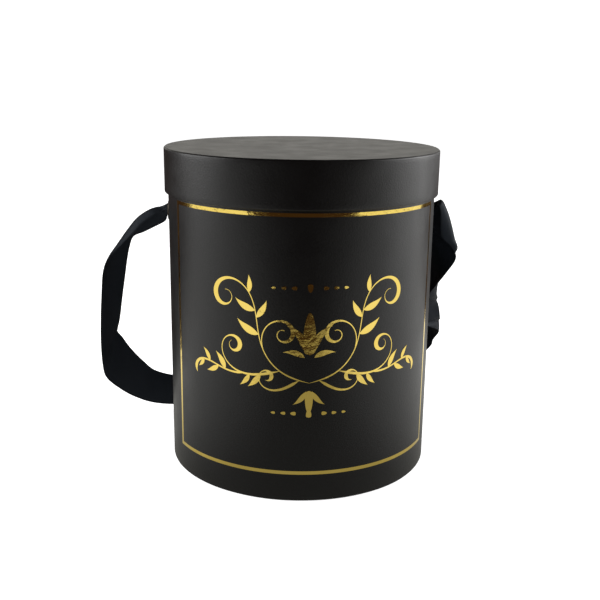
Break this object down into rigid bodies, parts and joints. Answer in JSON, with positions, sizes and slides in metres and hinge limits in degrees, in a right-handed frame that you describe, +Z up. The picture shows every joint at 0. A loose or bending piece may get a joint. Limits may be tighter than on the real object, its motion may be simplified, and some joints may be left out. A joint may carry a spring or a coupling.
{
  "type": "hat box",
  "caption": "Tall round paper-covered hat box with a lift-off lid, gold foil panel and a satin ribbon carry handle through side eyelets.",
  "frame": {"origin": "centre of the flat base face that the box stands on", "axes": "+Z up along the axis of the box, -Y out of the front foil panel, +X towards the right-hand eyelet as the panel is seen from in front"},
  "size_m": [0.2565, 0.1964, 0.2166],
  "materials": {
    "greyboard": "matt grey-brown greyboard",
    "black_paper": "matt black laminated paper with a faint grain",
    "lining_paper": "plain matt black paper",
    "gold_foil": "bright hot-stamped gold foil",
    "eyelet_brass": "brass blackened by its lacquer",
    "black_ribbon": "black satin ribbon with a woven edge"
  },
  "bodies": {
    "box": {"body_tube": "greyboard", "base_disc": "greyboard", "body_wrap": "black_paper", "body_lining": "lining_paper", "base_lining": "lining_paper", "base_cover": "black_paper", "foil_border": "gold_foil", "foil_sprig": "gold_foil", "left_eyelet": "eyelet_brass", "right_eyelet": "eyelet_brass", "left_washer": "eyelet_brass", "right_washer": "eyelet_brass"},
    "lid": {"lid_rim_tube": "greyboard", "lid_disc": "greyboard", "lid_rim_wrap": "black_paper", "lid_top_cover": "black_paper", "lid_rim_lining": "lining_paper", "lid_disc_lining": "lining_paper"},
    "handle": {"ribbon": "black_ribbon", "left_knot": "black_ribbon", "right_knot": "black_ribbon"}
  },
  "joints": [
    {"name": "lid_lift", "type": "slide", "parent": "box", "child": "lid", "axis": [0, 0, 1], "range_m": [0, 0.065]},
    {"name": "handle_swing", "type": "hinge", "parent": "box", "child": "handle", "pos_m": [0, 0, 0.173], "axis": [1, 0, 0], "range_deg": [0, 146]}
  ]
}
